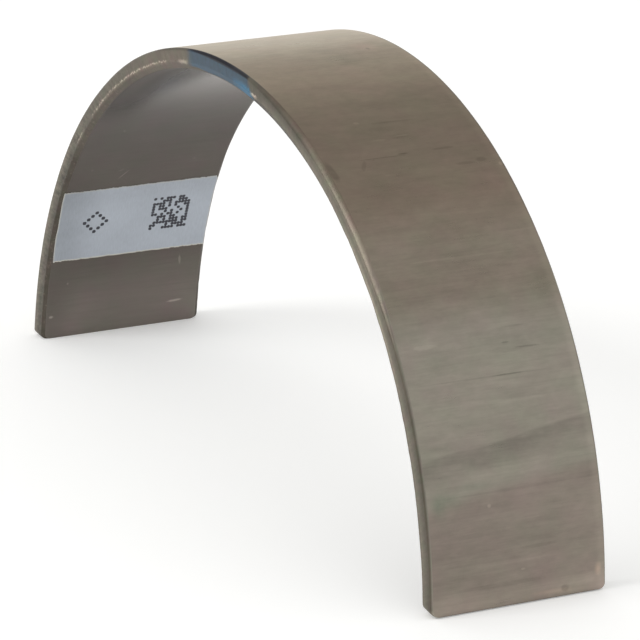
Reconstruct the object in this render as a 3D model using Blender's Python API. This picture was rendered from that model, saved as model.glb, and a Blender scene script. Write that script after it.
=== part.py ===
"""A half shell of a plain engine bearing, sprung open as it is before it is fitted, with its label.

Metres, +Z up. The shell stands on its two joint faces with its crown up. +Y runs along the bearing's
axis, and +X goes across from leg to leg. The origin is midway between the legs and between the end
faces, on the surface that the shell stands on. An angle is measured from the crown, towards +X.
"""

import math

import bmesh
import bpy
from mathutils import Vector

# Driving dimensions of the shell, in metres
HOUSING_BORE = 0.0620  # diameter of the housing that the back of the shell seats in
WALL = 0.0015  # wall at the crown
WIDTH = 0.0136  # from one end face to the other
FREE_SPREAD = 0.0022  # how much wider than the housing the loose shell is, across its joint faces
WALL_TAPER = 0.000012  # how much thinner the wall is a quarter turn from the crown
RELIEF_DEPTH = 0.00002  # extra bore clearance at each joint face
RELIEF_LENGTH = 0.0060  # how far along the bore that clearance fades out
BORE_CHAMFER_CROWN = 0.00050  # reach of the bore's end chamfer on the end face, at the crown
BORE_CHAMFER_JOINT = 0.00036  # the same reach at the joint faces
BORE_CHAMFER_WIDTH = 0.00028  # how far that chamfer goes along the bore
BACK_EDGE_RADIUS = 0.00022  # rounding between the back and each end face
CORNER_RADIUS = 0.00042  # rounding of the strip's four corners, at the joint faces

# Driving dimensions of the label, in metres
LABEL_HEIGHT = 0.0069  # along the bore
LABEL_MARGIN = 0.00025  # from each side of the label to the end face
LABEL_FROM_JOINT = 0.0067  # from the joint face to the label's lower edge, along the bore
LABEL_THICKNESS = 0.0001
LABEL_GAP = 0.0003  # clearance between the label and the bore
LABEL_SKEW = math.radians(0.5)  # how far the label is turned from square

# How finely round stretches are divided
ARC_STEPS = 120
CORNER_STEPS = 5
EDGE_STEPS = 3
LABEL_STEPS = 12
BISECTIONS = 60
SHARP_ANGLE = math.radians(20)


def half_angle(chord, arc):
    """Half the angle of the circular arc that has this length and spans this chord."""
    low, high = 0.0, math.pi
    for _ in range(BISECTIONS):
        middle = (low + high) / 2
        if math.sin(middle) / middle > chord / arc:
            low = middle
        else:
            high = middle
    return low


# The back keeps its length, half the housing's circle, while the shell springs open
BACK_LENGTH = math.pi * HOUSING_BORE / 2
HALF_ANGLE = half_angle(HOUSING_BORE + FREE_SPREAD, BACK_LENGTH)
BACK_RADIUS = BACK_LENGTH / (2 * HALF_ANGLE)


def to_joint(angle):
    """Distance along the back from this angle to the nearer joint face."""
    return (HALF_ANGLE - abs(angle)) * BACK_RADIUS


def bore_radius(angle):
    """The bore is eccentric to the back, and opens a little more towards each joint face."""
    taper = WALL_TAPER * (1 - math.cos(angle))
    relief = RELIEF_DEPTH * max(0.0, 1 - to_joint(angle) / RELIEF_LENGTH)
    return BACK_RADIUS - WALL + taper + relief


# The shell stands on the inner edges of its joint faces, which spring open and tilt
CENTRE_DROP = bore_radius(HALF_ANGLE) * math.cos(HALF_ANGLE)


def place(radius, angle, y):
    """The point at this radius and angle of the arc, y along the bearing's axis."""
    return Vector((radius * math.sin(angle), y, radius * math.cos(angle) - CENTRE_DROP))


def corner_inset(distance):
    """How far the rounded corner of the strip draws in at this distance from the joint face."""
    left = max(0.0, CORNER_RADIUS - distance)
    return CORNER_RADIUS - math.sqrt(CORNER_RADIUS**2 - left**2)


def station_angles():
    """Angles of the shell's sections, closer together round the corners at the joint faces."""
    turns = [math.pi / 2 * i / CORNER_STEPS for i in range(CORNER_STEPS)]
    ends = [HALF_ANGLE - CORNER_RADIUS * (1 - math.cos(turn)) / BACK_RADIUS for turn in turns]
    straight = HALF_ANGLE - CORNER_RADIUS / BACK_RADIUS
    middle = [straight * (2 * i / ARC_STEPS - 1) for i in range(ARC_STEPS + 1)]
    return [-angle for angle in ends] + middle + ends[::-1]


def section(angle):
    """The wall's outline at this angle, as (radius, y) points: rounded back edges, chamfered bore."""
    half = WIDTH / 2 - corner_inset(to_joint(angle))
    inner = bore_radius(angle)
    share = math.cos(math.pi / 2 * angle / HALF_ANGLE)
    reach = BORE_CHAMFER_JOINT + (BORE_CHAMFER_CROWN - BORE_CHAMFER_JOINT) * share
    edge = []
    for i in range(EDGE_STEPS + 1):
        turn = math.pi / 2 * i / EDGE_STEPS
        radius = BACK_RADIUS - BACK_EDGE_RADIUS * (1 - math.sin(turn))
        edge.append((radius, half - BACK_EDGE_RADIUS * (1 - math.cos(turn))))
    side = [(inner, half - BORE_CHAMFER_WIDTH), (inner + reach, half)] + edge
    return side + [(radius, -y) for radius, y in reversed(side)]


def loft(rings):
    """A closed solid through rings of points, which all have the same number of points."""
    mesh = bmesh.new()
    loops = [[mesh.verts.new(point) for point in ring] for ring in rings]
    count = len(loops[0])
    for one, two in zip(loops, loops[1:]):
        for i in range(count):
            j = (i + 1) % count
            mesh.faces.new((one[i], one[j], two[j], two[i]))
    mesh.faces.new(loops[0])
    mesh.faces.new(loops[-1])
    bmesh.ops.recalc_face_normals(mesh, faces=mesh.faces)
    return mesh


def make_material(name, colour, roughness, metallic):
    material = bpy.data.materials.new(name)
    material.use_nodes = True
    shader = material.node_tree.nodes["Principled BSDF"]
    shader.inputs["Base Color"].default_value = (*colour, 1.0)
    shader.inputs["Roughness"].default_value = roughness
    shader.inputs["Metallic"].default_value = metallic
    return material


def add_piece(name, solid, material):
    """Puts the solid in the scene as one object, with its round faces shaded smooth."""
    mesh = bpy.data.meshes.new(name)
    solid.to_mesh(mesh)
    solid.free()
    mesh.shade_smooth()
    mesh.set_sharp_from_angle(angle=SHARP_ANGLE)
    mesh.materials.append(material)
    piece = bpy.data.objects.new(name, mesh)
    bpy.context.scene.collection.objects.link(piece)
    return piece


def make_shell():
    """Steel back and bonded lining, which are one strip of metal."""
    rings = [[place(radius, angle, y) for radius, y in section(angle)] for angle in station_angles()]
    metal = make_material("bearing_metal", (0.25, 0.22, 0.18), 0.42, 0.9)
    return add_piece("bearing_shell", loft(rings), metal)


def label_point(along, across, radius):
    """A point of the label: along the bore from its middle, across from its middle, at this radius."""
    middle = HALF_ANGLE - (LABEL_FROM_JOINT + LABEL_HEIGHT / 2) / bore_radius(0)
    u = along * math.cos(LABEL_SKEW) - across * math.sin(LABEL_SKEW)
    v = along * math.sin(LABEL_SKEW) + across * math.cos(LABEL_SKEW)
    return place(radius, u / bore_radius(0) - middle, v)


def make_label():
    """Thin paper label across the bore of the -X leg."""
    outer = bore_radius(0) - LABEL_GAP
    inner = outer - LABEL_THICKNESS
    half = WIDTH / 2 - LABEL_MARGIN
    corners = [(outer, -half), (outer, half), (inner, half), (inner, -half)]
    rings = []
    for i in range(LABEL_STEPS + 1):
        along = LABEL_HEIGHT * (i / LABEL_STEPS - 0.5)
        rings.append([label_point(along, across, radius) for radius, across in corners])
    return add_piece("label", loft(rings), make_material("label_paper", (0.30, 0.32, 0.36), 0.6, 0.0))


def clear_scene():
    for thing in list(bpy.data.objects):
        bpy.data.objects.remove(thing, do_unlink=True)


def main():
    clear_scene()
    make_shell()
    make_label()


main()
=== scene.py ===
"""Dresses the half shell of an engine bearing: worked metal, a dab of paint, its label and a plain studio.

The file is laid out as a Blender add-on and is run as a script. Metres, +Z up, in the packed part's own
frame. An angle on the shell is measured from its crown towards +X, where the leg without the label is.
The shaders work in millimetres on the strip laid flat: along the back from the crown, across along the
bearing's axis, and deep from the bore's surface towards the back.
"""

import math

import bpy
import numpy as np
from bpy.props import FloatProperty, FloatVectorProperty, IntProperty, PointerProperty
from mathutils import Matrix, Vector


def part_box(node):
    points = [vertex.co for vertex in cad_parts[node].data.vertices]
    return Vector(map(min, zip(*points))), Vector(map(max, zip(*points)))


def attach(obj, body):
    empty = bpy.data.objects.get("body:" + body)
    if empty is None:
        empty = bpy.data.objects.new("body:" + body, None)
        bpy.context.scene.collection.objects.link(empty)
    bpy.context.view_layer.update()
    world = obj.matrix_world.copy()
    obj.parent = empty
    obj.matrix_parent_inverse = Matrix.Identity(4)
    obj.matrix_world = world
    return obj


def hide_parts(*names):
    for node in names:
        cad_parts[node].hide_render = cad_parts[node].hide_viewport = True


bl_info = {
    "name": "Engine bearing shell",
    "version": (1, 0, 0),
    "blender": (4, 5, 0),
    "location": "3D View > Sidebar > Bearing",
    "description": "Dresses a plain half shell of an engine bearing, with its label and a studio",
    "category": "Object",
}

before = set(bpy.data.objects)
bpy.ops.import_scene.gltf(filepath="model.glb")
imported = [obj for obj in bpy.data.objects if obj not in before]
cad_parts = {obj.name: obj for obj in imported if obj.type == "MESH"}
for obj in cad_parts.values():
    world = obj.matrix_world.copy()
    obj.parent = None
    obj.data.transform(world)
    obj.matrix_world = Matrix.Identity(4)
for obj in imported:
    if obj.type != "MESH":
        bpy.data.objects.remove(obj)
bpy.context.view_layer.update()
SHELL_LOW, SHELL_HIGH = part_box("bearing_shell")
LABEL_LOW, LABEL_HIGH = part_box("label")

MM = 0.001
BISECTIONS = 60
SHARP_ANGLE = math.radians(32)


def shade(red, green, blue):
    """A colour given as it shows on a screen, 0 to 255, in the linear values that shaders use."""
    shares = [value / 255 for value in (red, green, blue)]
    return tuple(s / 12.92 if s <= 0.04045 else ((s + 0.055) / 1.055) ** 2.4 for s in shares)


def length(name, default, description):
    return FloatProperty(name=name, description=description, default=default, precision=6, unit="LENGTH")


def angle(name, degrees, description):
    return FloatProperty(name=name, description=description, default=math.radians(degrees), unit="ROTATION")


def colour(name, default, description):
    return FloatVectorProperty(
        name=name, description=description, default=default, size=3, subtype="COLOR", min=0, max=1
    )


def share(name, default, description):
    return FloatProperty(name=name, description=description, default=default, min=0, max=1, subtype="FACTOR")


class ShellSizes(bpy.types.PropertyGroup):
    """Sizes of the shell's wall and edges."""

    wall: length("Wall", 0.0015, "Wall at the crown")
    taper: length("Wall taper", 0.000012, "How much thinner the wall is a quarter turn from the crown")
    relief: length("Bore relief", 0.00002, "Extra bore clearance at each joint face")
    relief_length: length("Relief length", 0.006, "How far along the bore that clearance fades out")
    chamfer_crown: length("Chamfer at the crown", 0.00050, "Reach of the bore's end chamfer at the crown")
    chamfer_joint: length("Chamfer at the joint", 0.00031, "The same reach at the plain leg's joint face")
    chamfer_labelled: length("Shallow chamfer", 0.00018, "The same reach at the labelled leg's joint face")
    chamfer_width: length("Chamfer width", 0.00028, "How far the chamfer goes along the bore")
    back_edge: length("Back edge", 0.00036, "Largest rounding between the back and an end face")
    back_edge_wear: length("Edge wear", 0.000012, "How much that rounding varies along the shell")
    end_crown: length("End crown", 0.000012, "How far each end face bulges across the wall")
    corner: length("Corner", 0.00042, "Rounding of the strip's four corners")
    corner_worn: length("Worn corner", 0.00060, "The same on the plain leg's front corner")
    corner_filed: length("Filed corner", 0.00032, "How far that corner is filed back on the bore's side")
    joint_edge: length("Joint edge", 0.00004, "Broken edge round each joint face")
    lip: length("Lip", 0.00020, "Width of the burnished lip between the end face and the chamfer")
    lip_wander: length("Lip wander", 0.00005, "How far the lip strays in and out along the shell")
    lip_rise: length("Lip rise", 0.000022, "Height of the burr on the lip")
    stations: IntProperty(name="Stations", description="Sections along the shell", default=880, min=60)


class ShellColours(bpy.types.PropertyGroup):
    """Colours of the shell's metal and paint."""

    back_brown: colour("Back, brown", shade(125, 113, 99), "Upper part of the back")
    back_grey: colour("Back, grey", shade(146, 140, 128), "Paler field lower on the back")
    back_foot: colour("Back, foot", shade(138, 128, 118), "Back near the joint faces")
    copper: colour("Copper", shade(214, 182, 160), "Worn through at the plain leg's rear edge")
    verdigris: colour("Verdigris", shade(112, 132, 112), "Greenish spots low on the plain leg")
    rosy: colour("Rosy", shade(150, 124, 116), "Rosy stains of the back")
    end_metal: colour("End face", shade(113, 107, 95), "Sheared and dressed end faces")
    end_dark: colour("End face, dark", shade(84, 78, 66), "Dark flecks of the end faces")
    chamfer: colour("Chamfer", shade(104, 97, 88), "Bore chamfer")
    # The lip's colour is its lining, cut and worn bright, and it also serves as a painted glint where the
    # soft box catches the lip
    lip: colour("Lip", shade(232, 216, 198), "Burnished lip where the lining is cut")
    # Also used as a painted sheen beside the lip's glint
    lip_glow: colour("Lip, dull", shade(158, 138, 122), "Metal beside the burnished lip")
    bore: colour("Bore", shade(97, 91, 86), "Lining")
    paint: colour("Paint", shade(42, 72, 92), "Thin grading paint on the end face")
    paint_wet: colour("Paint, thick", shade(50, 122, 158), "The same paint where it lies thick")
    paint_edge: colour("Paint, edge", shade(12, 12, 30), "The same paint drawn along the back edge")


class LabelSizes(bpy.types.PropertyGroup):
    """Sizes of the label and its print."""

    thickness: length("Thickness", 0.00005, "Thickness of the film")
    lift: length("Lift", 0.000008, "How far the film lies off the bore, by its glue")
    skew: angle("Skew", 0.5, "How far the label is turned from square")
    lean: angle("Lean", 2.2, "How far its short sides lean from square")
    taper: length("Taper", 0.00020, "How much longer the upper edge is than the lower one")
    ragged: length("Ragged edge", 0.00004, "How far the cut edges wander")
    tooth_pitch: length("Tooth pitch", 0.00027, "Pitch of the cutter's teeth on the upper and lower edges")
    tooth_depth: length("Tooth depth", 0.00006, "Depth of the marks of those teeth")
    dot: length("Dot", 0.00027, "Pitch of the printed dots")


class LabelColours(bpy.types.PropertyGroup):
    """Colours of the label."""

    film: colour("Film", shade(190, 197, 207), "Matt face of the film")
    cut: colour("Cut edge", shade(226, 222, 206), "Cut edge of the film")
    ink: colour("Ink", shade(22, 18, 34), "Printed dots")


class StudioSettings(bpy.types.PropertyGroup):
    """Camera, lights and floor."""

    azimuth: angle("Azimuth", 61.7733, "Camera's turn from the -Y side towards +X")
    elevation: angle("Elevation", 18.7234, "Camera's height above the horizon")
    roll: angle("Roll", 1.54997, "Camera's turn about its own line of sight")
    distance: length("Distance", 0.3337233, "Camera to the middle of the picture")
    right: length("Right", 0.0015137, "How far right of the origin the camera looks")
    up: length("Up", 0.0097220, "How far above the origin the camera looks")
    lens: FloatProperty(name="Lens", description="Focal length", default=255.914, unit="CAMERA")
    sky: share("Sky", 0.86, "Level of the room's light")
    floor: colour("Floor", shade(244, 244, 242), "Pale floor")


def solve_arc():
    """The back's radius and half angle, from the packed box and the wall at the joint faces."""
    sizes = bpy.context.scene.bearing_shell_sizes
    half_chord = (SHELL_HIGH.x - SHELL_LOW.x) / 2
    height = SHELL_HIGH.z - SHELL_LOW.z
    low, high = math.pi / 4, math.pi / 2
    for _ in range(BISECTIONS):
        turn = (low + high) / 2
        radius = half_chord / math.sin(turn)
        inner = radius - sizes.wall + sizes.taper * (1 - math.cos(turn)) + sizes.relief
        if radius - inner * math.cos(turn) < height:
            low = turn
        else:
            high = turn
    return radius, turn, inner * math.cos(turn)


class Arc:
    """The shell's arc: places on it, worked out from the packed part and the sizes."""

    def __init__(self):
        self.sizes = bpy.context.scene.bearing_shell_sizes
        self.radius, self.half_angle, self.drop = solve_arc()
        self.half_width = (SHELL_HIGH.y - SHELL_LOW.y) / 2

    def to_joint(self, turn):
        """Distance along the back to the nearer joint face."""
        return (self.half_angle - abs(turn)) * self.radius

    def bore(self, turn):
        taper = self.sizes.taper * (1 - math.cos(turn))
        fade = max(0.0, 1 - self.to_joint(turn) / self.sizes.relief_length)
        return self.radius - self.sizes.wall + taper + self.sizes.relief * fade

    def place(self, radius, turn, across):
        return (radius * math.sin(turn), across, radius * math.cos(turn) - self.drop)

    def flat(self, radius, turn, across):
        """The same place on the strip laid flat, in millimetres: along, across and deep."""
        return (turn * self.radius / MM, across / MM, (radius - self.bore(0)) / MM)

    def turn_of_height(self, radius, z):
        return math.acos((z + self.drop) / radius)


def wander(count, pitch, seed):
    """A smooth random line from -1 to 1, with a new knot each pitch steps."""
    knots = np.random.default_rng(seed).uniform(-1, 1, int(count / pitch) + 3)
    steps = np.arange(count) / pitch
    low = steps.astype(int)
    ease = (1 - np.cos((steps - low) * math.pi)) / 2
    return knots[low] * (1 - ease) + knots[low + 1] * ease


def place_in_scene(name, data):
    """A new object in the scene, which shows this data."""
    made = bpy.data.objects.new(name, data)
    bpy.context.scene.collection.objects.link(made)
    return made


def new_piece(name, points, faces, flat_places, materials, choices):
    """A smooth-shaded mesh object. flat_places are the points on the strip laid flat."""
    mesh = bpy.data.meshes.new(name)
    mesh.from_pydata(points, [], faces)
    store = mesh.attributes.new("strip", "FLOAT_VECTOR", "POINT")
    store.data.foreach_set("vector", np.array(flat_places, np.float32).ravel())
    for material in materials:
        mesh.materials.append(material)
    mesh.polygons.foreach_set("material_index", choices)
    mesh.shade_smooth()
    mesh.set_sharp_from_angle(angle=SHARP_ANGLE)
    mesh.validate()
    return place_in_scene(name, mesh)


# Shader building


class Shader:
    """Short ways to add nodes to one tree and join them."""

    def __init__(self, tree):
        self.tree = tree

    def node(self, kind, **settings):
        made = self.tree.nodes.new(kind)
        for name, value in settings.items():
            setattr(made, name, value)
        return made

    def feed(self, socket, value):
        """Gives a socket its value, or joins it to the output given."""
        if isinstance(value, bpy.types.NodeSocket):
            self.tree.links.new(value, socket)
        elif isinstance(value, (int, float)) and socket.type == "VECTOR":
            socket.default_value = (value, value, value)
        elif socket.type == "RGBA":
            socket.default_value = (*value, 1.0)
        else:
            socket.default_value = value

    def feed_all(self, made, values):
        """Feeds a node's sockets in their order, and gives the node back."""
        for socket, value in zip(made.inputs, values):
            self.feed(socket, value)
        return made

    def math(self, operation, *values):
        return self.feed_all(self.node("ShaderNodeMath", operation=operation), values).outputs[0]

    def chain(self, operation, *values):
        """Joins the values by one operation, from the left."""
        made = values[0]
        for value in values[1:]:
            made = self.math(operation, made, value)
        return made

    def product(self, *values):
        return self.chain("MULTIPLY", *values)

    def total(self, *terms):
        """The sum of the terms. A tuple stands for the product of what it holds."""
        return self.chain("ADD", *[self.product(*t) if isinstance(t, tuple) else t for t in terms])

    def less(self, one, two):
        return self.math("SUBTRACT", one, two)

    def most(self, one, two):
        return self.math("MAXIMUM", one, two)

    def step(self, value, low, high, to_low=0.0, to_high=1.0):
        """Eases from to_low to to_high while value goes from low to high."""
        made = self.node("ShaderNodeMapRange", interpolation_type="SMOOTHSTEP")
        return self.feed_all(made, (value, low, high, to_low, to_high)).outputs["Result"]

    def vector(self, operation, *values):
        made = self.feed_all(self.node("ShaderNodeVectorMath", operation=operation), values)
        return made.outputs["Value" if operation in ("LENGTH", "DOT_PRODUCT") else "Vector"]

    def level(self, base, factor):
        """A colour or a vector, made greater or less by a factor that varies."""
        made = self.node("ShaderNodeVectorMath", operation="SCALE")
        self.feed(made.inputs[0], base)
        self.feed(made.inputs["Scale"], factor)
        return made.outputs["Vector"]

    def combine(self, *parts):
        return self.feed_all(self.node("ShaderNodeCombineXYZ"), parts).outputs[0]

    def separate(self, vector):
        return self.feed_all(self.node("ShaderNodeSeparateXYZ"), [vector]).outputs

    def rotate(self, vector, axis, turn):
        made = self.node("ShaderNodeVectorRotate", rotation_type=axis)
        self.feed(made.inputs["Vector"], vector)
        self.feed(made.inputs["Angle"], turn)
        return made.outputs[0]

    def noise(self, place, fineness, detail=3.0, roughness=0.5):
        """Noise from -0.5 to 0.5. The fineness is one number, or one for each axis."""
        made = self.node("ShaderNodeTexNoise", noise_dimensions="3D")
        values = {"Scale": 1.0, "Detail": detail, "Roughness": roughness}
        for name, value in {"Vector": self.vector("MULTIPLY", place, fineness), **values}.items():
            self.feed(made.inputs[name], value)
        return self.less(made.outputs["Fac"], 0.5)

    def mix(self, factor, one, two):
        made = self.node("ShaderNodeMix", data_type="RGBA")
        for place, value in ((0, factor), (6, one), (7, two)):
            self.feed(made.inputs[place], value)
        return made.outputs[2]

    def bump(self, height, distance):
        made = self.node("ShaderNodeBump")
        self.feed(made.inputs["Distance"], distance)
        self.feed(made.inputs["Height"], height)
        return made.outputs["Normal"]

    def group(self, name, **values):
        """Places the node group of this name, which is made the first time.

        A value's name is its socket's name in small letters."""
        tree = bpy.data.node_groups.get(name) or GROUP_MAKERS[name](name)
        made = self.node("ShaderNodeGroup", node_tree=tree)
        for socket, value in values.items():
            self.feed(made.inputs[socket.capitalize()], value)
        return made.outputs

    def band(self, value, low, high, blur):
        return self.group("Soft band", value=value, low=low, high=high, blur=blur)["Mask"]

    def streaks(self, flat, fineness, stretch):
        return self.group("Rolled streaks", flat=flat, fineness=fineness, stretch=stretch)["Value"]

    def cloud(self, flat, size):
        return self.group("Mottle", flat=flat, size=size)["Value"]

    def oxide(self, tint, flat, amount):
        return self.group("Oxide tint", colour=tint, flat=flat, amount=amount)["Colour"]


class StripShader(Shader):
    """A shader on the shell, which knows where each point lies on the strip laid flat."""

    def __init__(self, tree, arc):
        super().__init__(tree)
        self.arc = arc
        here = self.group("Strip place")
        self.flat, self.at, self.across = here["Flat"], here["Along"], here["Across"]
        self.deep, self.edge = here["Deep"], here["Edge"]

    def along(self, degrees):
        """Millimetres along the back from the crown to this angle."""
        return math.radians(degrees) * self.arc.radius / MM

    def between(self, low, high, blur):
        """1 between two angles in degrees, with ends blurred over this many millimetres."""
        return self.band(self.at, self.along(low), self.along(high), blur)

    def toward(self, low, high, to_low=0.0, to_high=1.0):
        """Eases from to_low to to_high on the way from one angle to another, in degrees."""
        return self.step(self.at, self.along(low), self.along(high), to_low, to_high)

    def marks(self, marks, core=0.5, deep=None):
        """The joint mask of marks, which lie on the back unless deep says otherwise.

        They are given as (degrees, across, half length along, half width, turn, strength)."""
        masks = []
        for degrees, across, long, wide, turn, strength in marks:
            made = self.group(
                "Mark",
                flat=self.flat,
                place=(self.along(degrees), across, self.arc.sizes.wall / MM if deep is None else deep),
                size=(long, wide, 1.0),
                turn=math.radians(turn),
                ragged=0.6,
                core=core,
            )
            masks.append((made["Mask"], strength))
        return self.math("MINIMUM", self.total(*masks), 1.0)


FLOAT, VECTOR, COLOUR = "NodeSocketFloat", "NodeSocketVector", "NodeSocketColor"
FLAT = ("Flat", VECTOR, (0, 0, 0))


def new_group(name, inputs, outputs):
    """A shader node group with these sockets, with its shader and its input and output nodes."""
    tree = bpy.data.node_groups.new(name, "ShaderNodeTree")
    for label, kind, default in inputs:
        tree.interface.new_socket(name=label, in_out="INPUT", socket_type=kind).default_value = default
    for label, kind in outputs:
        tree.interface.new_socket(name=label, in_out="OUTPUT", socket_type=kind)
    s = Shader(tree)
    return s, s.node("NodeGroupInput").outputs, s.node("NodeGroupOutput").inputs


def strip_place_group(name):
    """Where a point lies on the strip laid flat, in millimetres."""
    outputs = [("Flat", VECTOR), ("Along", FLOAT), ("Across", FLOAT), ("Deep", FLOAT), ("Edge", FLOAT)]
    s, _, out = new_group(name, [], outputs)
    stored = s.node("ShaderNodeAttribute", attribute_name="strip").outputs["Vector"]
    s.feed(out["Flat"], stored)
    for label, part in zip(("Along", "Across", "Deep"), s.separate(stored)):
        s.feed(out[label], part)
    s.feed(out["Edge"], s.node("ShaderNodeAttribute", attribute_name="edge").outputs["Fac"])
    return s.tree


def band_group(name):
    """1 between two limits, with soft ends."""
    inputs = [("Value", FLOAT, 0.0), ("Low", FLOAT, 0.0), ("High", FLOAT, 1.0), ("Blur", FLOAT, 0.1)]
    s, given, out = new_group(name, inputs, [("Mask", FLOAT)])
    value, low, high, blur = (given[label] for label, _, _ in inputs)
    rise = s.step(value, s.less(low, blur), s.total(low, blur))
    fall = s.step(value, s.less(high, blur), s.total(high, blur), 1.0, 0.0)
    s.feed(out["Mask"], s.product(rise, fall))
    return s.tree


def streaks_group(name):
    """Rolling and honing streaks that run across the strip, from -0.5 to 0.5."""
    inputs = [FLAT, ("Fineness", FLOAT, 4.0), ("Stretch", FLOAT, 20.0)]
    s, given, out = new_group(name, inputs, [("Value", FLOAT)])
    fine = given["Fineness"]
    scale = s.combine(fine, s.math("DIVIDE", fine, given["Stretch"]), fine)
    s.feed(out["Value"], s.noise(given["Flat"], scale, 4.0, 0.62))
    return s.tree


def mottle_group(name):
    """Soft cloudy staining, from -0.5 to 0.5."""
    s, given, out = new_group(name, [FLAT, ("Size", FLOAT, 4.0)], [("Value", FLOAT)])
    place = s.vector("MULTIPLY", given["Flat"], (1.0, 0.6, 1.0))
    s.feed(out["Value"], s.noise(place, s.math("DIVIDE", 1.0, given["Size"]), 5.0, 0.55))
    return s.tree


def oxide_group(name):
    """The colour given, drifting between a green and a pink cast in patches."""
    inputs = [("Colour", COLOUR, (1, 1, 1, 1)), FLAT, ("Amount", FLOAT, 0.1)]
    s, given, out = new_group(name, inputs, [("Colour", COLOUR)])
    drift = s.product(s.noise(given["Flat"], (0.45, 0.40, 0.45), 2.0), given["Amount"])
    cast = s.vector("ADD", s.level((1.0, -0.7, 0.5), drift), 1.0)
    s.feed(out["Colour"], s.vector("MULTIPLY", given["Colour"], cast))
    return s.tree


def flecks_group(name):
    """Small ragged flecks, 1 inside a fleck."""
    inputs = [FLAT, ("Size", FLOAT, 0.2), ("Amount", FLOAT, 0.3), ("Seed", FLOAT, 0.0)]
    s, given, out = new_group(name, inputs, [("Mask", FLOAT)])
    shifted = s.vector("ADD", given["Flat"], given["Seed"])
    grain = s.noise(shifted, s.math("DIVIDE", 1.0, given["Size"]), 3.0, 0.6)
    edge = s.total(0.22, (given["Amount"], -0.4))
    s.feed(out["Mask"], s.step(grain, edge, s.total(edge, 0.08)))
    return s.tree


def mark_group(name):
    """One mark at a place on the strip: 1 in its middle, ragged towards its edge."""
    inputs = [FLAT, ("Place", VECTOR, (0, 0, 0)), ("Size", VECTOR, (1, 1, 1))]
    inputs += [("Turn", FLOAT, 0.0), ("Ragged", FLOAT, 0.3), ("Core", FLOAT, 0.5)]
    s, given, out = new_group(name, inputs, [("Mask", FLOAT)])
    turned = s.rotate(s.vector("SUBTRACT", given["Flat"], given["Place"]), "Z_AXIS", given["Turn"])
    away = s.vector("LENGTH", s.vector("DIVIDE", turned, given["Size"]))
    worn = s.total(away, (s.noise(given["Flat"], 5.0, 3.0, 0.6), given["Ragged"]))
    s.feed(out["Mask"], s.step(worn, 1.1, given["Core"]))
    return s.tree


def dots_group(name):
    """A printed dot in each square of a grid on the sheet, with the square's own number."""
    inputs = [("Sheet", VECTOR, (0, 0, 0)), ("Corner", VECTOR, (0, 0, 0)), ("Pitch", FLOAT, 0.27)]
    s, given, out = new_group(name, inputs, [("Dot", FLOAT), ("Column", FLOAT), ("Row", FLOAT)])
    place = s.vector("DIVIDE", s.vector("SUBTRACT", given["Sheet"], given["Corner"]), given["Pitch"])
    cell = s.vector("FLOOR", place)
    inside = s.vector("SUBTRACT", s.vector("SUBTRACT", place, cell), (0.5, 0.5, 0.0))
    away = s.vector("LENGTH", s.vector("MULTIPLY", inside, (1.0, 1.0, 0.0)))
    blot = s.noise(given["Sheet"], 7.0, 2.0)
    s.feed(out["Dot"], s.step(s.total(away, (blot, 0.30)), 0.64, 0.46))
    for label, number in zip(("Row", "Column"), s.separate(cell)):
        s.feed(out[label], number)
    return s.tree


GROUP_MAKERS = {
    "Strip place": strip_place_group,
    "Soft band": band_group,
    "Rolled streaks": streaks_group,
    "Mottle": mottle_group,
    "Oxide tint": oxide_group,
    "Flecks": flecks_group,
    "Mark": mark_group,
    "Dot grid": dots_group,
}


def new_material(name, roughness, metallic, arc=None):
    """A material, its shader and the sockets of its Principled node, which hold its even values."""
    material = bpy.data.materials.new(name)
    material.use_nodes = True
    tree = material.node_tree
    sockets = tree.nodes["Principled BSDF"].inputs
    sockets["Roughness"].default_value = roughness
    sockets["Metallic"].default_value = metallic
    return material, StripShader(tree, arc) if arc else Shader(tree), sockets


# The shell


# Shares of the half width where the bore and the back have points
BORE_SHARES = (0.0, 0.3, 0.6, 0.85, 0.97)
BACK_SHARES = (0.985, 0.93, 0.6, 0.3, 0.0)
BORE_ROUNDING = 0.00003  # where the bore meets its chamfer
SLOPE_SHARES = (0.25, 0.5, 0.72)  # points down the chamfer
# Points over the lip: shares of its width outward and in from the end face, and of the burr's height
LIP_POINTS = ((-0.22, 0.13, 0.0), (0.0, 0.02, 0.6), (0.22, 0.0, 1.0), (0.45, 0.0, 0.55), (0.70, 0.0, 0.0))
LIP_END = 0.75  # where the end face goes on past the lip, in widths of the lip
FACE_POINTS = 7
ROUND_POINTS = 13
CORNER_STEPS = 8
CROWN_FADE = 4  # how fast the chamfer gets shallower down the plain leg, against 1 down the other
EDGE_FLATNESS = 1.5  # 1 is a round edge, 2 a flat facet
FLAT_FROM = 0.6  # share of the largest rounding from which it flattens
EDGE_START = math.radians(4)  # where the rounding leaves the end face
# Shares of the largest back edge rounding, at these degrees from the crown
FRONT_EDGE = (
    (-87, 0.10), (-74, 0.26), (-66, 0.38), (-50, 0.46), (-38, 0.62), (-27, 0.38), (0, 0.50), (12, 0.80),
    (20, 1.0), (46, 1.0), (54, 0.61), (70, 0.53), (87, 0.47),
)
REAR_EDGE = ((-87, 0.15), (-50, 0.40), (0, 0.52), (38, 0.50), (48, 0.42), (75, 0.40), (87, 0.20))
# How far the plain leg's front corner is filed back: up the leg, and in from the end face, over which
# stretch it deepens
FILED_LENGTH = 0.0018
FILED_WIDTH = 0.0030
FILED_BLEND = 0.0025


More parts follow.
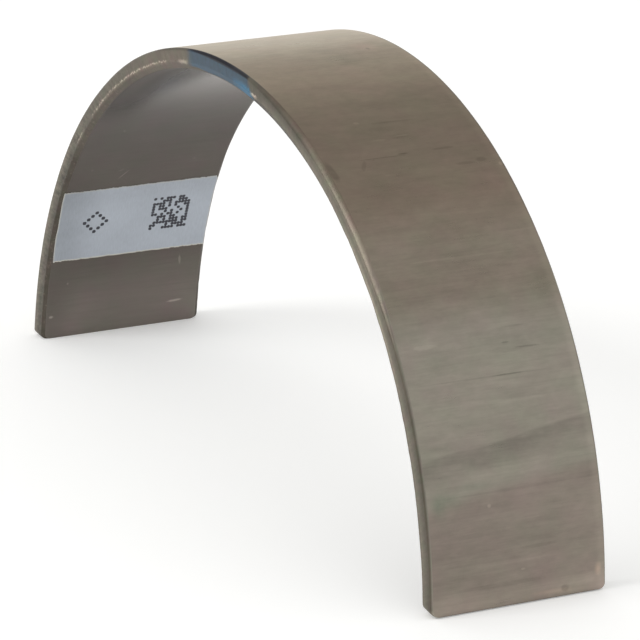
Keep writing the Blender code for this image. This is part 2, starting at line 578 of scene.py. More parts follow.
def section(arc, turn, side, worn, lip_in, lip_up):
    """One half of the wall's outline at this angle, from the bore's middle to the back's middle.

    Its points are (radius, across, edge), where edge is 0 on the back, 1 where the rounding ends, and
    then goes on in millimetres. worn, lip_in and lip_up are where the wear stands at this station."""
    z = arc.sizes
    plain = turn > 0
    corner = z.corner_worn if plain and side < 0 else z.corner
    left = max(0.0, corner - arc.to_joint(turn))
    inset = corner - math.sqrt(max(0.0, corner**2 - left**2))
    half = arc.half_width - inset
    inner = arc.bore(turn)
    crown_share = math.cos(math.pi / 2 * turn / arc.half_angle) ** (CROWN_FADE if plain else 1)
    joint_reach = z.chamfer_joint if plain else z.chamfer_labelled
    reach = joint_reach + (z.chamfer_crown - joint_reach) * crown_share + z.lip_wander * lip_in
    foot = half - z.chamfer_width
    bore = [(inner, foot * part) for part in BORE_SHARES]
    bore += [(inner, foot - BORE_ROUNDING), (inner + BORE_ROUNDING * 0.4, foot + BORE_ROUNDING * 0.3)]
    slope = [(inner + reach * p, foot + z.chamfer_width * p) for p in SLOPE_SHARES]
    rise = z.lip_rise * max(0.0, lip_up)
    start = inner + reach
    end = half - z.end_crown / 2
    lip = [(start + z.lip * out, end - z.lip * back + rise * up) for out, back, up in LIP_POINTS]
    broad = np.interp(math.degrees(turn), *zip(*(FRONT_EDGE if side < 0 else REAR_EDGE)))
    edge = z.back_edge * broad + z.back_edge_wear * worn
    flatness = 1 + (EDGE_FLATNESS - 1) * max(0.0, (broad - FLAT_FROM) / (1 - FLAT_FROM))
    flat_end = arc.radius - edge
    flat_start = start + z.lip * LIP_END
    face = []
    for i in range(FACE_POINTS):
        p = (i + 0.25) / (FACE_POINTS - 0.5)
        radius = flat_start + (flat_end - flat_start) * p
        bulge = z.end_crown * (1 - (2 * p - 1) ** 2)
        face.append((radius, end + bulge, 1 + (flat_end - radius) / MM))
    rounding = []
    for i in range(ROUND_POINTS):
        t = EDGE_START + (math.pi / 2 - EDGE_START) * i / (ROUND_POINTS - 1)
        outward = edge * math.sin(t) ** flatness
        inward = edge * (1 - math.cos(t) ** flatness)
        rounding.append((flat_end + outward, end - inward, 1 - i / (ROUND_POINTS - 1)))
    back = [(arc.radius, (end - edge) * part, 0.0) for part in BACK_SHARES]
    return [(*point, 2.0) for point in bore + slope + lip] + face + rounding + back


def stations(arc):
    """Angles of the sections, closer together round the corners at the joint faces."""
    sizes = arc.sizes
    turns = [math.pi / 2 * i / CORNER_STEPS for i in range(CORNER_STEPS)]
    ends = [arc.half_angle - sizes.corner * (1 - math.cos(t)) / arc.radius for t in turns]
    straight = arc.half_angle - sizes.corner / arc.radius
    middle = np.linspace(-straight, straight, sizes.stations)
    return [-t for t in ends] + list(middle) + ends[::-1]


def shell_rings(arc):
    """The shell's sections as rings of (radius, turn, across, edge)."""
    turns = stations(arc)
    count = len(turns)
    worn = wander(count, 9, 3) * 0.6 + wander(count, 2.5, 4) * 0.4
    wear = {}
    for side in (-1, 1):
        strays = wander(count, 14, 20 + side) * 0.5 + wander(count, 4, 30 + side) * 0.35
        rises = wander(count, 5, 40 + side) * 0.6 + wander(count, 2, 50 + side) * 0.6
        wear[side] = (worn, strays, rises)
    rings = []
    for i, turn in enumerate(turns):
        front, rear = (section(arc, turn, side, *(line[i] for line in wear[side])) for side in (-1, 1))
        ring = [(radius, turn, across, edge) for radius, across, edge in rear]
        for radius, across, edge in reversed(front[1:-1]):
            ring.append((radius, filed(arc, radius, turn, across), -across, edge))
        rings.append(ring)
    return rings


def filed(arc, radius, turn, across):
    """The angle that a point of the front half moves to where the plain leg's corner is filed back."""
    left = max(0.0, 1 - arc.to_joint(turn) / FILED_LENGTH) if turn > 0 else 0.0
    depth = (arc.radius - radius) / arc.sizes.wall
    near_front = min(1.0, max(0.0, (across - arc.half_width + FILED_WIDTH) / FILED_BLEND))
    return turn - arc.sizes.corner_filed * depth * near_front * left / arc.radius


def break_joint_edges(arc, rings):
    """Adds a slightly smaller ring at each joint face, so that its edges are broken."""
    size = arc.sizes.joint_edge
    middle_radius = arc.radius - arc.sizes.wall / 2
    made = []
    for ring, sign in ((rings[0], -1), (rings[-1], 1)):
        kept, small = [], []
        for radius, turn, across, edge in ring:
            kept.append((radius, turn - sign * size / arc.radius, across, edge))
            inward = math.copysign(min(size, abs(radius - middle_radius)), middle_radius - radius)
            across_in = across - math.copysign(min(size, abs(across)), across)
            small.append((radius + inward, turn, across_in, edge))
        made.append((kept, small))
    (first, first_small), (last, last_small) = made
    return [first_small, first] + rings[1:-1] + [last, last_small]


def shell_faces(ring_count, size):
    """Faces between the rings, and the two joint faces as strips across the wall."""
    faces = []
    for i in range(ring_count - 1):
        for j in range(size):
            k = (j + 1) % size
            faces.append((i * size + j, i * size + k, (i + 1) * size + k, (i + 1) * size + j))
    for i, turned in ((0, True), (ring_count - 1, False)):
        base = i * size
        for j in range(size // 2):
            corners = [base + j, base + j + 1, base + (size - j - 1) % size, base + (size - j) % size]
            unique = list(dict.fromkeys(corners))
            faces.append(tuple(reversed(unique)) if turned else tuple(unique))
    return faces


def zone_of(j, size):
    """0 back, 1 end faces with chamfer and lip, 2 bore, for the face that starts at point j of a ring."""
    j = min(j, size - 1 - j)
    bore_end = len(BORE_SHARES) + 1
    face_end = bore_end + len(SLOPE_SHARES) + len(LIP_POINTS) + FACE_POINTS + ROUND_POINTS
    return 2 if j < bore_end else 1 if j < face_end else 0


# Marks on the back: degrees from the crown, millimetres across, half sizes, turn and strength
DARK_MARKS = (
    (27.2, -1.9, 0.06, 2.4, 0, 0.55),
    (26.95, -0.3, 0.08, 0.5, 0, 0.9),
    (26.85, 2.9, 0.12, 1.0, 0, 0.6),
    (28.2, -3.65, 0.62, 0.20, 29, 0.45),
    (28.6, -6.2, 1.1, 0.34, -6, 0.75),
    (29.8, 3.9, 0.16, 0.9, 2, 0.5),
    (29.5, 5.2, 0.26, 0.5, 0, 0.6),
    (20.9, 0.4, 0.10, 2.2, 1, 0.35),
    (24.0, 0.3, 0.10, 0.9, -2, 0.25),
    (53.1, 2.4, 0.08, 1.0, 0, 0.35),
    (55.0, 1.5, 0.09, 0.35, 0, 0.6),
    (55.85, 3.1, 0.08, 1.1, 2, 0.6),
    (56.2, 1.6, 0.06, 0.8, 0, 0.25),
    (58.9, -0.5, 0.07, 5.8, 0.5, 0.35),
    (58.9, 1.2, 0.06, 1.4, 0, 0.7),
    (1.3, 4.3, 0.28, 0.17, 0, 1.0),
    (79.9, 1.6, 0.16, 1.6, 0, 0.35),
    (84.0, -1.0, 0.20, 4.0, 0, 0.25),
    (85.8, 3.6, 0.30, 0.36, 0, 0.8),
    (72.6, 0.0, 0.10, 6.0, 0, 0.25),
)
# Wide soft ones, in the same terms
DARK_PATCHES = (
    (0.4, 0.8, 0.9, 1.9, 4, 0.75),
    (4.6, 1.8, 1.6, 2.2, 10, 0.55),
    (11.5, 1.0, 1.2, 3.0, 4, 0.25),
    (22.3, -0.8, 1.1, 3.0, 0, 0.45),
    (25.0, -5.2, 0.8, 1.6, 0, 0.35),
    (54.4, 2.6, 1.0, 1.9, 0, 0.35),
    (66.6, -5.0, 0.40, 2.2, 6, 0.55),
    (76.6, 3.6, 0.7, 2.2, 0, 0.35),
    (84.0, 0.0, 0.9, 4.5, 0, 0.30),
)
PALE_PATCHES = (
    (-0.2, -1.5, 1.1, 1.3, 12, 0.9),
    (1.0, -5.0, 1.4, 1.4, 0, 0.35),
    (34.0, 2.6, 4.5, 3.4, 0, 0.30),
    (44.5, 3.0, 2.5, 3.0, 0, 0.20),
    (53.8, -4.6, 0.4, 1.4, 0, 0.45),
    (70.2, 2.0, 0.8, 3.6, 2, 0.40),
    (70.6, -2.8, 0.9, 2.0, 2, 0.35),
    (86.0, -3.0, 0.5, 4.2, 0, 0.35),
    (86.4, 4.0, 0.4, 2.6, 0, 0.35),
    (85.3, 5.7, 0.4, 0.9, 0, 0.6),
)
PALE_MARKS = (
    (20.4, -2.2, 0.15, 0.26, 10, 0.7),
    (24.1, -1.4, 0.12, 0.7, 0, 0.40),
    (23.7, 0.5, 0.09, 0.7, 0, 0.50),
    (30.2, -2.1, 0.12, 0.5, 0, 0.25),
    (30.6, 6.45, 0.22, 0.16, 0, 1.0),
    (43.4, 0.5, 0.10, 5.0, 0.5, 0.30),
    (46.8, -2.0, 0.14, 3.0, 0, 0.25),
    (54.2, -4.6, 0.20, 1.1, 0, 0.50),
    (62.0, -0.2, 0.16, 4.5, 1, 0.22),
    (74.2, -1.95, 0.15, 0.16, 0, 1.0),
    (82.5, 0.35, 0.09, 0.20, 0, 0.7),
    (81.3, -1.0, 0.14, 4.5, 1, 0.25),
)
# Worn through to copper, greenish spots and rosy stains, in the same terms
COPPER = ((84.1, 6.2, 0.55, 0.34, 4, 0.30), (86.0, 2.8, 0.25, 2.2, 2, 0.12))
VERDIGRIS = (
    (73.3, -5.8, 1.1, 0.75, 0, 0.8),
    (72.6, -4.9, 0.7, 1.0, 0, 0.4),
    (71.6, -3.0, 0.5, 1.6, 0, 0.5),
)
ROSY = ((0.5, 4.3, 1.4, 1.2, 0, 0.8), (33.0, 5.4, 2.2, 1.1, 0, 0.4))
SOFT = -0.1  # core of a mark that fades from its middle outward
# Stretches of the back that are paler or darker: between which degrees, blur and how much
BACK_STRETCHES = (
    (-2, 5.5, 1.6, -0.19),
    (9, 15, 2.0, 0.09),
    (24, 42, 3.0, 0.10),
    (58, 65, 1.5, 0.06),
    (77, 84, 1.5, -0.13),
)


def make_back_metal(arc):
    """Satin steel back: flash plating gone brown, paler lower down, streaked across the strip."""
    colours = bpy.context.scene.bearing_shell_colours
    material, s, sockets = new_material("back_metal", 0.3, 0.92, arc)
    fine, dashes = s.streaks(s.flat, 7.0, 30.0), s.streaks(s.flat, 3.0, 7.0)
    broad, patch = s.streaks(s.flat, 0.8, 5.0), s.streaks(s.flat, 1.6, 1.8)
    cloud = s.cloud(s.flat, 3.5)
    drifting = s.total(s.at, (cloud, 3.0))
    grey = s.total(
        s.step(drifting, s.along(33), s.along(43), 0.0, 0.35),
        s.step(drifting, s.along(46), s.along(55), 0.0, 0.65),
    )
    tint = s.mix(grey, colours.back_brown, colours.back_grey)
    # The stain's upper edge runs slantwise over the leg and is sharper than its lower one
    slant = s.total(s.at, (s.across, 0.128), (cloud, 0.8), (dashes, 0.25))
    top = s.along(66.4)
    stain = s.product(s.step(slant, top - 0.08, top + 0.16), s.step(slant, top + 0.3, top + 2.1, 1, 0))
    tint = s.mix(s.step(slant, s.along(71.2), s.along(73.2)), tint, colours.back_foot)
    verdigris = s.marks(VERDIGRIS, SOFT)
    streaky = s.toward(30, 44, 0.55, 1.0)
    light = s.total(
        1.0,
        (fine, streaky, 0.18),
        (dashes, streaky, 0.30),
        (patch, s.toward(-2, 25, 0.55, 0.26)),
        (broad, s.toward(-2, 25, 0.12, 0.26)),
        (cloud, s.toward(-2, 25, 0.55, 0.30)),
        (stain, -0.17),
        (s.marks(DARK_MARKS), -0.32),
        (s.marks(PALE_MARKS), 0.28),
        (s.marks(DARK_PATCHES, SOFT), -0.18),
        (s.marks(PALE_PATCHES, SOFT), 0.16),
        (verdigris, -0.15),
        # Painted sheen down the labelled leg, from where the back is seen at a grazing angle; paler at the
        # foot of the plain one and along the rear edge
        s.toward(-4.5, -14, 0.0, 0.42),
        s.toward(84, 85.5, 0.0, 0.13),
        (s.toward(72, 76), s.step(s.across, 1.0, 5.0, 0.0, 0.08)),
        s.step(s.across, 5.9, 6.5, 0.0, 0.14),
        *[(s.between(low, high, blur), amount) for low, high, blur, amount in BACK_STRETCHES],
    )
    tint = s.mix(s.marks(COPPER, SOFT), tint, colours.copper)
    tint = s.mix(s.product(verdigris, 0.32), tint, colours.verdigris)
    tint = s.mix(s.product(s.marks(ROSY, SOFT), 0.5), tint, colours.rosy)
    s.feed(sockets["Base Color"], s.level(s.oxide(tint, s.flat, 0.11), light))
    s.feed(sockets["Roughness"], s.total(0.31, (cloud, 0.16), (dashes, 0.12)))
    sockets["Specular Tint"].default_value = (1.0, 0.96, 0.86, 1.0)
    s.feed(sockets["Normal"], s.bump(s.total(fine, (dashes, 0.8), broad), 0.000005))
    return material


def lip_glint_and_sheen(s, jagged, front):
    """Masks of the lip, worn bright and painted with a glint where the soft box catches it and beside the
    paint, and of the duller metal beside it, which gets a painted sheen.
    """
    place = s.total(s.deep, (jagged, 0.42))
    main = s.product(s.between(-44, -17.5, 0.4), s.toward(-44, -22, 0.62, 0.95))
    far = s.between(-51.5, -48.5, 0.5)
    above, below = s.between(-13.4, -11.0, 0.45), s.between(7.4, 9.3, 0.3)
    # Stretches where the lip gets its painted glint, where the soft box catches it, as well as where it is
    # worn
    lit_and_rubbed = s.product(s.total((main, 0.78), (above, 0.5), (far, 0.45), below), front)
    broken = s.step(s.noise(s.flat, (3.0, 1.0, 2.0), 3.0, 0.7), -0.10, 0.08, 0.12, 1.0)
    line = s.product(s.band(place, 0.52, 0.63, 0.05), broken, s.most(lit_and_rubbed, 0.05))
    beside_paint = s.product(s.band(place, 0.38, 0.64, 0.10), s.most(above, below), front, 0.42)
    glow = s.product(s.band(place, 0.36, 0.68, 0.08), lit_and_rubbed, 0.35)
    return s.most(line, beside_paint), glow


def paint_dab(s, colours, ragged, jagged, front):
    """The paint brushed over the end face near the crown: its mask, its dark rim and its colour."""
    slanted = s.product(s.most(s.less(s.deep, 0.5), 0.0), s.step(s.at, 1.0, 4.0))
    start = s.total(s.at, (ragged, 0.25), slanted)
    begins = s.step(s.total(start, (jagged, 0.6)), s.along(-11.3), s.along(-9.3))
    ends = s.step(s.total(start, (jagged, 0.5)), s.along(8.5), s.along(7.2))
    run_down = s.total(s.deep, (ragged, 0.12), (s.between(-7, 11, 1.0), 0.17))
    dab = s.product(begins, ends, s.step(run_down, 0.20, 0.27), front)
    pool = s.total(s.at, (ragged, 2.0), (jagged, 1.6))
    pool_top = s.total(s.deep, (ragged, 0.6), (jagged, 0.7))
    thick = s.product(s.step(pool, s.along(1.5), s.along(6.0)), s.step(pool_top, 1.05, 0.60))
    thin = s.total(1.0, (jagged, 0.9), (ragged, 0.5), s.step(s.deep, 0.62, 0.36, 0.0, 0.45))
    paint = s.mix(s.product(thick, 0.85), s.level(colours.paint, thin), colours.paint_wet)
    # It is drawn up dark along the back edge, widest in the middle of the dab
    off_middle = s.math("DIVIDE", s.less(s.at, s.along(-0.8)), s.along(9))
    rim_start = s.total(1.17, (off_middle, off_middle, 0.22))
    rim = s.step(s.less(s.deep, rim_start), -0.03, 0.10)
    return dab, rim, s.mix(s.product(rim, 0.97), paint, colours.paint_edge)


def make_end_metal(arc):
    """End faces, chamfers and rounded edges: sheared steel, a worn lip with a painted glint, painted light
    and shade on the plain leg's rounded edge and face, and a dab of paint.
    """
    colours = bpy.context.scene.bearing_shell_colours
    material, s, sockets = new_material("end_metal", 0.45, 0.85, arc)
    front = s.step(s.across, 0.5, -0.5)
    # Shear marks lean over the wall, and are coarser down the labelled leg
    strokes = s.noise(s.rotate(s.flat, "Y_AXIS", math.radians(28)), (3.0, 1.0, 0.9), 4.0, 0.65)
    dark = s.group("Flecks", flat=s.flat, size=0.24, amount=0.42)["Mask"]
    pale = s.group("Flecks", flat=s.flat, size=0.20, amount=0.36, seed=31.7)["Mask"]
    cloud = s.cloud(s.flat, 1.6)
    ragged = s.noise(s.flat, 4.0, 3.0, 0.65)
    jagged = s.noise(s.flat, (4.5, 1.0, 1.0), 3.0, 0.7)
    coarse = s.total(s.toward(-20, -50, 0.26, 1.0), s.toward(12, 25, 0.0, 0.06))
    tint = s.mix(s.product(dark, coarse, 0.5), colours.end_metal, colours.end_dark)
    # The chamfer, with an edge that blurs low on the labelled leg
    slope_end = s.total(0.50, s.toward(0, 80, 0.0, -0.10), s.toward(0, -110, 0.0, -0.31))
    blurred = s.toward(-36, -50)
    slope = s.step(s.less(s.deep, slope_end), s.total(0.02, (blurred, 0.42)), -0.06)
    lighter = s.total(1.0, (blurred, 0.02), s.toward(-74, -84, 0.0, 0.16))
    tint = s.mix(slope, tint, s.level(colours.chamfer, lighter))
    # The lip, with a painted glint, and the metal beside it, with a painted sheen, which is warmer near the
    # crown
    bright, glow = lip_glint_and_sheen(s, jagged, front)
    tint = s.mix(glow, tint, colours.lip_glow)
    tint = s.mix(bright, tint, colours.lip)
    tint = s.mix(s.product(s.between(-26, -10, 3.0), front, 0.16), tint, colours.lip_glow)
    # The back's plating goes round the plain leg's edge. A dark line of painted shade follows the rounded
    # edge where it meets the end face, stronger lower down and left out where the edge has its painted
    # highlight
    plain_leg = s.toward(9, 12)
    plated = s.mix(s.toward(33, 55), colours.back_brown, colours.back_grey)
    tint = s.mix(s.product(s.step(s.edge, 0.75, 0.15), plain_leg), tint, plated)
    # The stretch where the soft box catches the rounded edge, which gets a painted highlight
    highlit_edge = s.between(26, 48, 3.0)
    corner = s.toward(85.7, 86.3)
    line = s.product(
        s.band(s.edge, 0.42, 1.13, 0.31),
        s.total(0.20, s.toward(56, 70, 0.0, 0.24)),
        s.less(plain_leg, highlit_edge),
        s.less(1.0, corner),
    )
    tint = s.mix(line, tint, colours.end_dark)
    # Dirt on the rounded edge beside the paint, and the paint over it
    rounded = s.band(s.edge, 0.06, 1.0, 0.06)
    dirty = s.product(rounded, s.between(-19, 2, 1.0))
    tint = s.mix(s.product(dirty, 0.5), tint, colours.end_dark)
    dab, rim, paint = paint_dab(s, colours, ragged, jagged, front)
    tint = s.mix(s.product(dab, 0.92), tint, paint)
    # The end face: lighter towards the bore on the plain leg and darker towards it low on the labelled leg,
    # with painted light halfway down the plain leg, where the soft box lights it, and painted shade above
    # that
    speckled = s.product(coarse, s.step(s.edge, 0.8, 1.1, 0.3, 1.0))
    light = s.total(
        0.97,
        (s.step(s.deep, 1.25, 0.5, -0.5, 0.5), s.total((plain_leg, 0.30), s.toward(-45, -58, 0.0, -0.42))),
        # Painted shade and a painted highlight on the rounded edge, where the soft box catches it
        (s.band(s.edge, 0.30, 1.0, 0.14), highlit_edge, -0.33),
        (s.band(s.edge, 0.66, 1.06, 0.18), highlit_edge, 0.70),
        (plain_leg, 0.07),
        s.toward(8, 13, -0.14, 0.0),
        (strokes, s.step(slope, 0.0, 1.0, 1.7, 0.35), speckled),
        (pale, speckled, 0.35),
        (cloud, 0.38),
        (corner, 0.35),
        # Painted light on the face where the soft box lights it, and painted shade nearer the crown
        (s.between(37, 53, 2.5), 0.12),
        (s.between(38, 56, 4.0), s.step(s.deep, 0.84, 0.46), 0.60),
        (s.between(8, 22, 2.0), -0.18),
    )
    tint = s.oxide(tint, s.vector("MULTIPLY", s.flat, 2.2), 0.24)
    s.feed(sockets["Base Color"], s.level(tint, light))
    covered = s.product(dab, s.total(0.6, (rim, -0.35)))
    grimy = s.product(dirty, s.total(0.5, (dab, -0.5)))
    s.feed(sockets["Metallic"], s.less(0.9, s.most(covered, grimy)))
    rough = s.total(0.46, (bright, -0.12), (cloud, 0.12), (rounded, -0.05), (dirty, 0.25))
    s.feed(sockets["Roughness"], rough)
    smooth_edge = s.step(s.edge, 0.9, 1.2, 0.1, 1.0)
    grain = s.product(s.total(strokes, (dark, -0.4)), smooth_edge, coarse, s.total(1.0, (dab, -0.8)))
    s.feed(sockets["Normal"], s.bump(s.total(grain, dab), 0.000012))
    return material


# Small bright nicks in the bore, in the same terms
BORE_MARKS = (
    (-48.0, -3.6, 0.16, 0.10, 20, 0.5),
    (-58.7, -2.0, 0.62, 0.055, -38, 0.75),
    (-57.7, -2.35, 0.30, 0.05, -60, 0.45),
    (-57.0, -4.9, 0.09, 0.07, 0, 0.6),
    (-57.0, 3.8, 0.09, 0.10, 0, 0.4),
    (-78.2, -4.9, 0.10, 0.09, 0, 0.6),
    (-76.6, 4.7, 0.50, 0.12, 8, 0.5),
    (-83.4, 4.6, 0.12, 0.75, 3, 0.8),
    (-83.4, -6.1, 0.14, 0.22, 0, 0.9),
)


def make_bore_metal(arc):
    """The lining: dark, bored smooth, with faint streaks along the bearing's axis."""
    colours = bpy.context.scene.bearing_shell_colours
    material, s, sockets = new_material("bore_metal", 0.2, 0.94, arc)
    fine, cloud = s.streaks(s.flat, 5.0, 30.0), s.cloud(s.flat, 3.0)
    light = s.total(
        1.0,
        (fine, 0.22),
        (cloud, 0.30),
        s.marks(BORE_MARKS, deep=0.0),
        (s.between(-54, -38, 3.0), s.step(s.across, -3.5, 0.5, 0.0, -0.13)),
    )
    # Painted reflection of the pale floor: paler towards the labelled leg's joint face, least at its front.
    # Paler also beside the crown's chamfer
    crown = s.between(-38, 2, 4.0)
    paler = s.total(
        1.0,
        (s.toward(-73, -87, 0.0, 0.75), s.step(s.across, -6.3, -3.5, 0.40, 1.0)),
        (crown, s.step(s.across, -4.3, -6.0, 0.0, 0.34)),
    )
    tint = s.oxide(colours.bore, s.flat, 0.14)
    s.feed(sockets["Base Color"], s.level(tint, s.product(light, paler)))
    handled = s.product(crown, s.step(s.across, -2.6, -5.2, 0.0, 0.25))
    s.feed(sockets["Roughness"], s.total(0.20, (cloud, 0.06), handled))
    s.feed(sockets["Normal"], s.bump(fine, 0.000003))
    return material


class BEARING_OT_dress_shell(bpy.types.Operator):
    """Builds the half shell with its worn edges, and puts it in the place of the packed one."""

    bl_idname = "bearing.dress_shell"
    bl_label = "Half shell"

    def execute(self, context):
        arc = Arc()
        rings = break_joint_edges(arc, shell_rings(arc))
        size = len(rings[0])
        points = [arc.place(*p[:3]) for ring in rings for p in ring]
        flats = [arc.flat(*p[:3]) for ring in rings for p in ring]
        faces = shell_faces(len(rings), size)
        choices = [zone_of(j, size) for _ in range(len(rings) - 1) for j in range(size)]
        choices += [1] * (len(faces) - len(choices))
        materials = [make_back_metal(arc), make_end_metal(arc), make_bore_metal(arc)]
        shell = new_piece("half_shell", points, faces, flats, materials, choices)
        edges = shell.data.attributes.new("edge", "FLOAT", "POINT")
        edges.data.foreach_set("value", [p[3] for ring in rings for p in ring])
        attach(shell, "root")
        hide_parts("bearing_shell")
        return {"FINISHED"}


# The label


LABEL_ROWS, LABEL_COLUMNS = 30, 400  # squares of the film's mesh
EDGE_SHARE = 0.05  # how far in from a cut edge the mesh follows its wear
RIM_SHARE = 0.35  # thickness of the film at its cut edges
# The clipped corner: how much, in millimetres, and from which shares of the sheet
CLIP, CLIP_UP, CLIP_REAR = 0.16, 0.93, 0.97
# The print: a square field of dots and an open lozenge of dots, with corners in millimetres
FIELD_CORNER, FIELD_SIDE = (-1.45, 1.4, 0.0), 12
LOZENGE_CORNER, LOZENGE_REACH, LOZENGE_PITCH = (-1.05, -4.45, 0.0), 3.0, 1.15


class LabelSheet:
    """The label's sheet. A place on it is a share from 0 to 1 up the leg, and one from front to rear."""

    def __init__(self, arc):
        self.arc = arc
        self.sizes = bpy.context.scene.bearing_label_sizes
        self.radius = arc.bore(0)
        outer = math.hypot(LABEL_LOW.x, LABEL_LOW.z + arc.drop)
        low = arc.turn_of_height(outer, LABEL_LOW.z)
        inner = math.hypot(LABEL_HIGH.x, LABEL_HIGH.z + arc.drop)
        high = arc.turn_of_height(inner, LABEL_HIGH.z)
        self.middle = -(low + high) / 2
        skew = math.sin(self.sizes.skew)
        spread, width = (low - high) * self.radius, LABEL_HIGH.y - LABEL_LOW.y
        self.height = (spread - width * skew) / (1 - skew**2)
        self.half = (width - spread * skew) / (1 - skew**2) / 2

    def lines(self, count, size):
        """Shares of a side where the sheet's grid lines stand, with one close to each edge."""
        close = self.sizes.thickness / size
        return [0.0] + list(np.linspace(close, 1 - close, count - 1)) + [1.0]

    def near_edge(self, place):
        """1 on the edge of the sheet, fading out just inside it."""
        return max(0.0, 1 - min(place, 1 - place) / EDGE_SHARE)

    def teeth(self, rear):
        """Small bites that the cutter's teeth left along the upper and lower edges, in millimetres."""
        return self.sizes.tooth_depth / MM * abs(math.sin(math.pi * rear * MM / self.sizes.tooth_pitch))

    def clipped_corner(self, up, rear):
        """How far the rear upper corner draws in, in millimetres."""
        high = max(0.0, (up - CLIP_UP) / (1 - CLIP_UP))
        return CLIP * high**2 * max(0.0, (rear - CLIP_REAR) / (1 - CLIP_REAR))

    def flat(self, up, rear):
        """Millimetres up the leg and to the rear from the label's middle, before it is cut."""
        return ((up - 0.5) * self.height / MM, (rear - 0.5) * 2 * self.half / MM)

    def cut(self, up, rear, up_rag, rear_rag):
        """The same once the sheet is cut, where the rags say how its edges wander here."""
        z = self.sizes
        up_at, rear_at = self.flat(up, rear)
        bite = self.teeth(rear_at) * (1 if up < 0.5 else -1)
        lean = up_at * math.tan(z.lean)
        up_at += (z.ragged / MM * up_rag + bite) * self.near_edge(up)
        rear_at += (up - 0.5) * z.taper / MM * (rear - 0.5)
        rear_at += z.ragged / MM * rear_rag * self.near_edge(rear)
        return up_at, rear_at - self.clipped_corner(up, rear) - lean

    def laid(self, up_at, rear_at, level):
        """The point of the bore where that lands, this far off its surface."""
        cos, sin = math.cos(self.sizes.skew), math.sin(self.sizes.skew)
        turn = self.middle + (up_at * cos - rear_at * sin) * MM / self.radius
        return self.arc.place(self.arc.bore(turn) - level, turn, (up_at * sin + rear_at * cos) * MM)


def film_points(sheet):
    """Points of the film's glued side and then of its face: laid on the bore, and on the flat sheet."""
    sizes = sheet.sizes
    ups = sheet.lines(LABEL_ROWS, sheet.height)
    rears = sheet.lines(LABEL_COLUMNS, 2 * sheet.half)
    rear_rags = [wander(LABEL_ROWS + 1, 5, 60 + i) for i in range(2)]
    up_rags = [wander(LABEL_COLUMNS + 1, 9, 70 + i) for i in range(2)]
    points, flats = [], []
    for top in (0, 1):
        for i, up in enumerate(ups):
            for j, rear in enumerate(rears):
                on_rim = i in (0, LABEL_ROWS) or j in (0, LABEL_COLUMNS)
                level = sizes.lift + top * sizes.thickness * (RIM_SHARE if on_rim else 1)
                up_rag = up_rags[i > LABEL_ROWS / 2][j]
                rear_rag = rear_rags[j > LABEL_COLUMNS / 2][i]
                points.append(sheet.laid(*sheet.cut(up, rear, up_rag, rear_rag), level))
                flats.append((*sheet.flat(up, rear), level / MM))
    return points, flats


def film_faces():
    """Faces of the glued side, the printed face and the rim, and 0 for each printed one, 1 for the rest."""
    side = LABEL_COLUMNS + 1
    layer = (LABEL_ROWS + 1) * side
    faces, choices = [], []
    for base, turned, choice in ((0, False, 1), (layer, True, 0)):
        for i in range(LABEL_ROWS):
            for j in range(LABEL_COLUMNS):
                a = base + i * side + j
                quad = (a, a + 1, a + side + 1, a + side)
                faces.append(quad[::-1] if turned else quad)
                choices.append(choice)
    loop = list(range(side))
    loop += [i * side + LABEL_COLUMNS for i in range(1, LABEL_ROWS + 1)]
    loop += [LABEL_ROWS * side + j for j in range(LABEL_COLUMNS - 1, -1, -1)]
    loop += [i * side for i in range(LABEL_ROWS - 1, 0, -1)]
    for a, b in zip(loop, loop[1:] + loop[:1]):
        faces.append((b, a, a + layer, b + layer))
        choices.append(1)
    return faces, choices


def make_label_film():
    """Matt film printed with a square field of dots and an open lozenge of dots, pale at its cut edges."""
    colours = bpy.context.scene.bearing_label_colours
    pitch = bpy.context.scene.bearing_label_sizes.dot / MM
    material, s, sockets = new_material("label_film", 0.5, 0.0)
    flat = s.group("Strip place")["Flat"]
    up, rear, _ = s.separate(flat)
    cloud = s.cloud(flat, 2.5)
    weave = s.noise(flat, (2.0, 9.0, 1.0), 2.0)
    field = s.group("Dot grid", sheet=flat, corner=FIELD_CORNER, pitch=pitch)
    row, column = field["Row"], field["Column"]
    inside = [s.band(line, -0.5, FIELD_SIDE - 0.5, 0.2) for line in (row, column)]
    chance = s.node("ShaderNodeTexWhiteNoise", noise_dimensions="3D")
    s.feed(chance.inputs["Vector"], s.combine(row, column))
    square = s.product(*inside, s.step(chance.outputs["Value"], 0.44, 0.46), field["Dot"])
    ring = s.group("Dot grid", sheet=flat, corner=LOZENGE_CORNER, pitch=pitch * LOZENGE_PITCH)
    away = [s.math("ABSOLUTE", s.less(ring[name], LOZENGE_REACH)) for name in ("Row", "Column")]
    off = s.math("ABSOLUTE", s.less(s.total(*away), LOZENGE_REACH))
    ink = s.most(square, s.product(s.step(off, 0.5, 0.3), ring["Dot"]))
    light = s.total(
        s.step(rear, -6.0, -2.5, 0.77, 1.0),
        s.step(rear, 2.0, 6.0, 0.0, 0.02),
        s.step(up, 0.5, 3.4, 0.0, -0.11),
        (cloud, 0.28),
        (weave, 0.22),
    )
    # Pale at the cut edges, most along the lower one
    high_or_low = s.step(s.math("ABSOLUTE", up), 3.33, 3.42)
    sides = s.step(s.math("ABSOLUTE", rear), 6.42, 6.52)
    rim = s.most(s.product(s.most(high_or_low, sides), 0.30), s.step(up, -3.30, -3.42, 0.0, 0.8))
    film = s.mix(rim, s.level(colours.film, light), colours.cut)
    s.feed(sockets["Base Color"], s.mix(s.product(ink, 0.95), film, colours.ink))
    s.feed(sockets["Roughness"], s.total(0.5, (cloud, 0.1)))
    s.feed(sockets["Normal"], s.bump(s.total(cloud, (weave, 0.2)), 0.00002))
    return material


